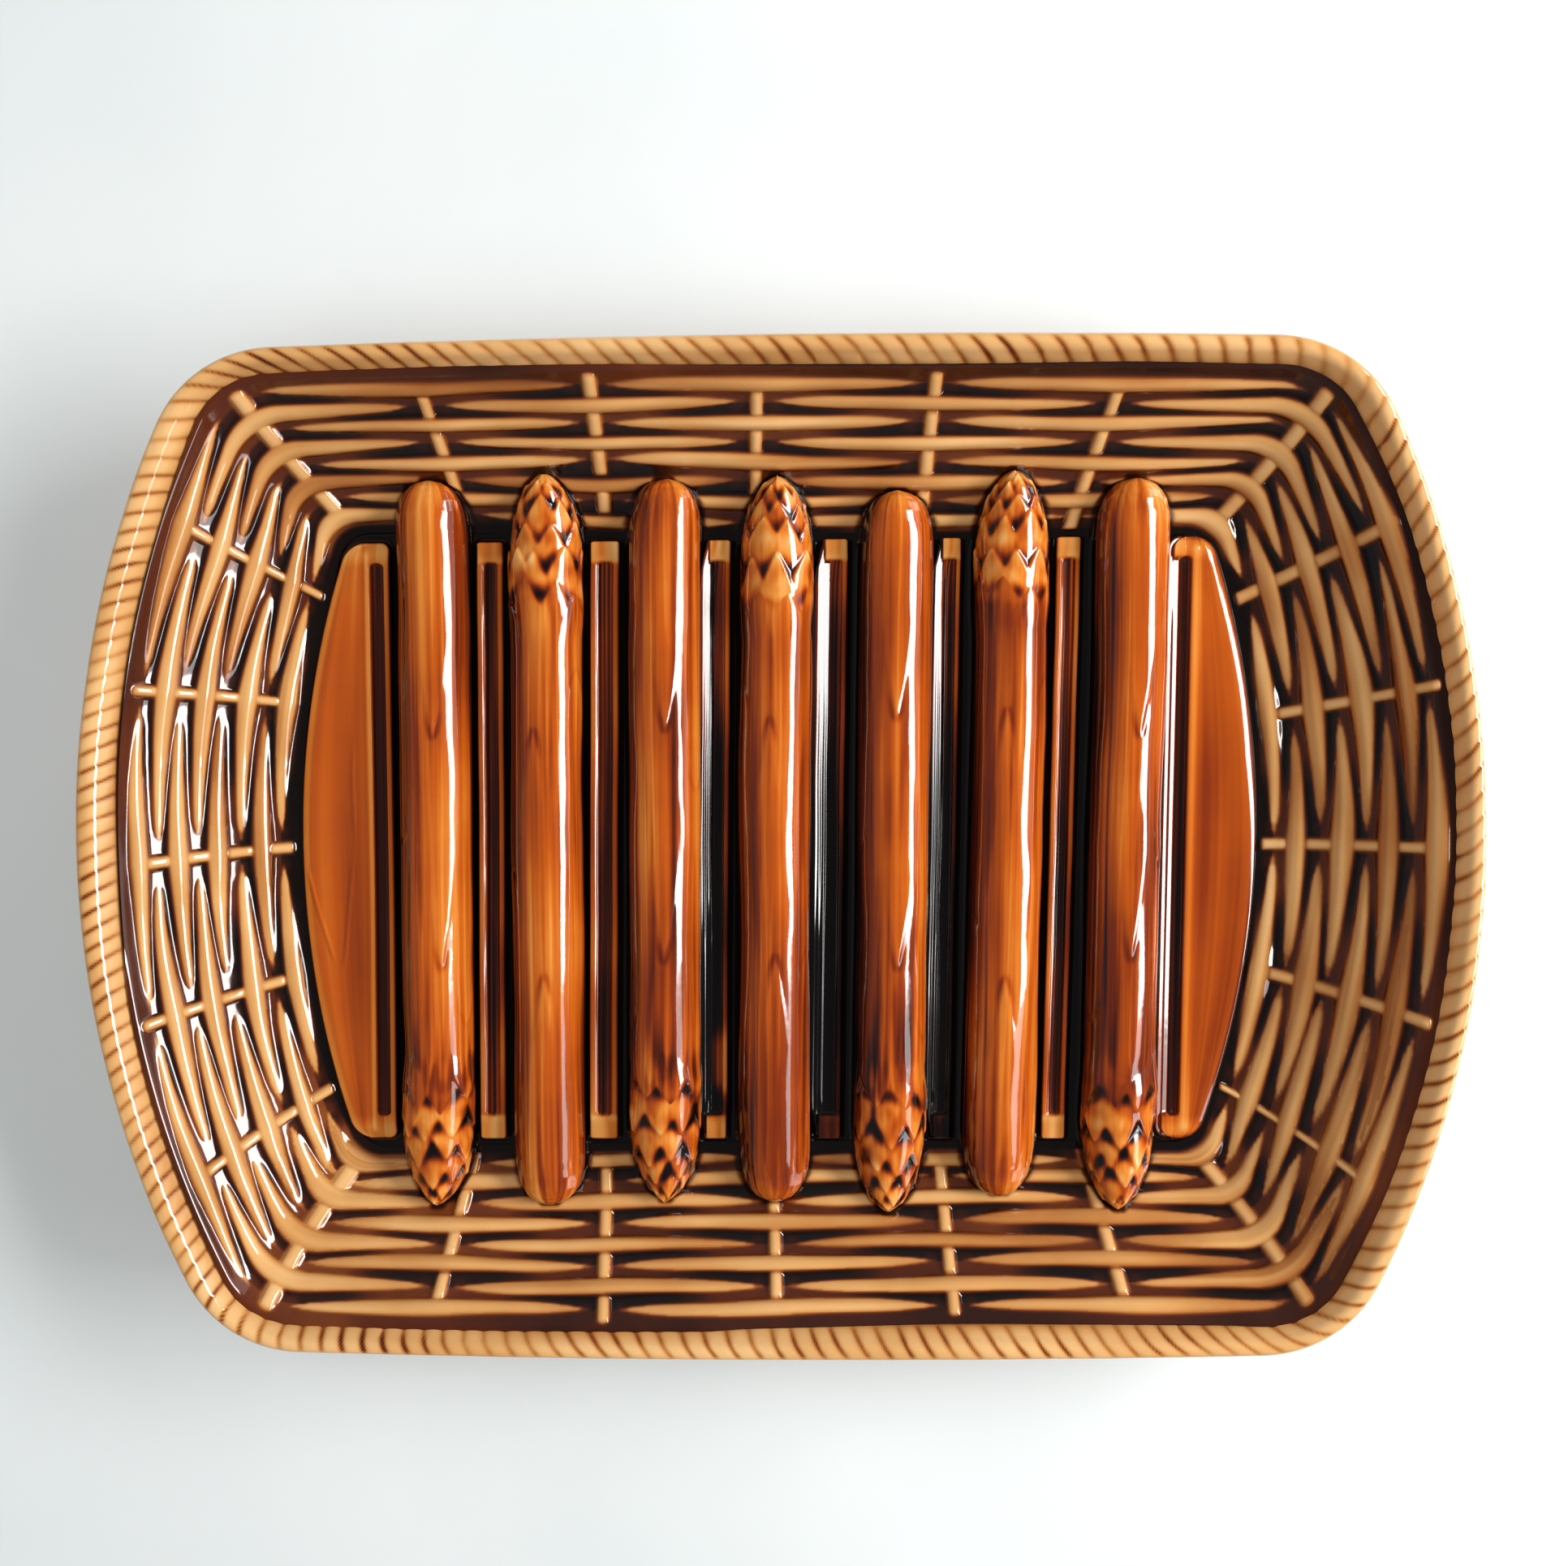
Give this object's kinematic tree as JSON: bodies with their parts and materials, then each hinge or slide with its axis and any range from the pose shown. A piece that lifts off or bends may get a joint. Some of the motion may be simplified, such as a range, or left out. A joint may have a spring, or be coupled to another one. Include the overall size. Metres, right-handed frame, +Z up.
{
  "type": "asparagus plate",
  "caption": "Glazed earthenware asparagus platter with a basket-weave wall, rope-twist rim and a sunken draining well crossed by asparagus spears moulded in relief.",
  "frame": {"origin": "middle of the plate on the plane of the foot's underside", "axes": "+X along the plate's long side, +Y across it, +Z up out of the bowl"},
  "size_m": [0.38, 0.278, 0.0436],
  "materials": {
    "tray_glaze": "dark brown pooled glaze, very glossy",
    "wiped_foot": "buff clay, glaze wiped off, matt",
    "rope_glaze": "honey glaze over buff clay, brown in the grooves, glossy",
    "weave_glaze": "honey glaze, thin on the strands and dark in the recesses, very glossy",
    "pad_glaze": "amber glaze, glossy",
    "slat_glaze": "amber glaze with dark pools, glossy",
    "spear_glaze": "streaked amber glaze with darker patches, very glossy"
  },
  "bodies": {
    "root": {"tray_body": "tray_glaze", "foot_ring": "wiped_foot", "rope_rim": "rope_glaze", "weave_course_1": "weave_glaze", "weave_course_2": "weave_glaze", "weave_course_3": "weave_glaze", "weave_course_4": "weave_glaze", "weave_course_5": "weave_glaze", "weave_course_6": "weave_glaze", "weave_course_7": "weave_glaze", "weave_course_8": "weave_glaze", "long_side_stakes": "weave_glaze", "short_end_stakes": "weave_glaze", "corner_stakes": "weave_glaze", "left_pad": "pad_glaze", "right_pad": "pad_glaze", "drain_slat_1": "slat_glaze", "drain_slat_2": "slat_glaze", "drain_slat_3": "slat_glaze", "drain_slat_4": "slat_glaze", "drain_slat_5": "slat_glaze", "drain_slat_6": "slat_glaze", "spear_1": "spear_glaze", "spear_2": "spear_glaze", "spear_3": "spear_glaze", "spear_4": "spear_glaze", "spear_5": "spear_glaze", "spear_6": "spear_glaze", "spear_7": "spear_glaze"}
  },
  "joints": []
}
